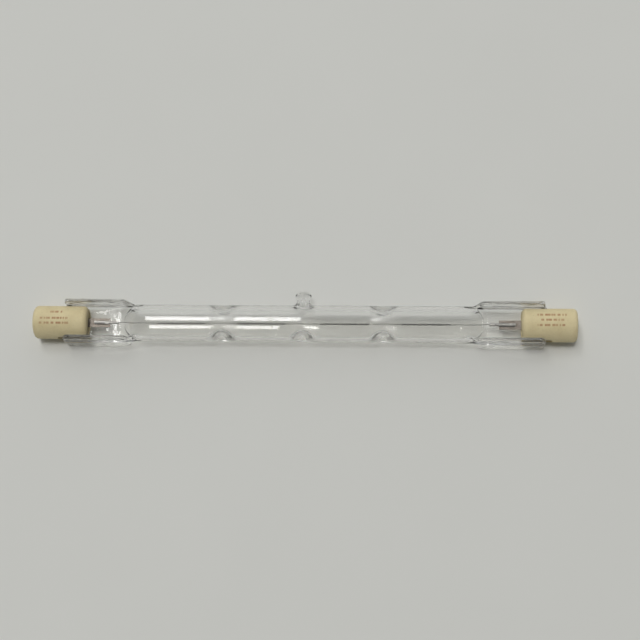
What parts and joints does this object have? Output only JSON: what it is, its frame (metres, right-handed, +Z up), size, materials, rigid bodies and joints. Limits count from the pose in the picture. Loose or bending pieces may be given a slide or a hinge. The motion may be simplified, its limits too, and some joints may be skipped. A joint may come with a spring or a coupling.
{
  "type": "linear_halogen_bulb",
  "caption": "Double-ended linear halogen bulb: clear quartz tube with pressed seals at its ends, cream ceramic caps with recessed contacts, an exhaust tip and a coiled filament.",
  "frame": {"origin": "the bulb's centre of mass, on the tube's axis halfway between the contacts", "axes": "+X along the bulb, +Y towards the exhaust tip, +Z up, square to the seals' flat webs"},
  "size_m": [0.1176, 0.0115, 0.0082],
  "materials": {
    "clear_quartz": "polished",
    "tungsten": "satin",
    "molybdenum": "satin",
    "cream_ceramic": "matte",
    "ceramic_cement": "matte",
    "contact_metal": "satin"
  },
  "bodies": {
    "root": {"quartz_envelope": "clear_quartz", "filament": "tungsten", "left_inner_lead": "molybdenum", "left_foil": "molybdenum", "left_outer_lead": "molybdenum", "left_cap": "cream_ceramic", "left_cement": "ceramic_cement", "left_contact": "contact_metal", "right_inner_lead": "molybdenum", "right_foil": "molybdenum", "right_outer_lead": "molybdenum", "right_cap": "cream_ceramic", "right_cement": "ceramic_cement", "right_contact": "contact_metal"}
  },
  "joints": []
}
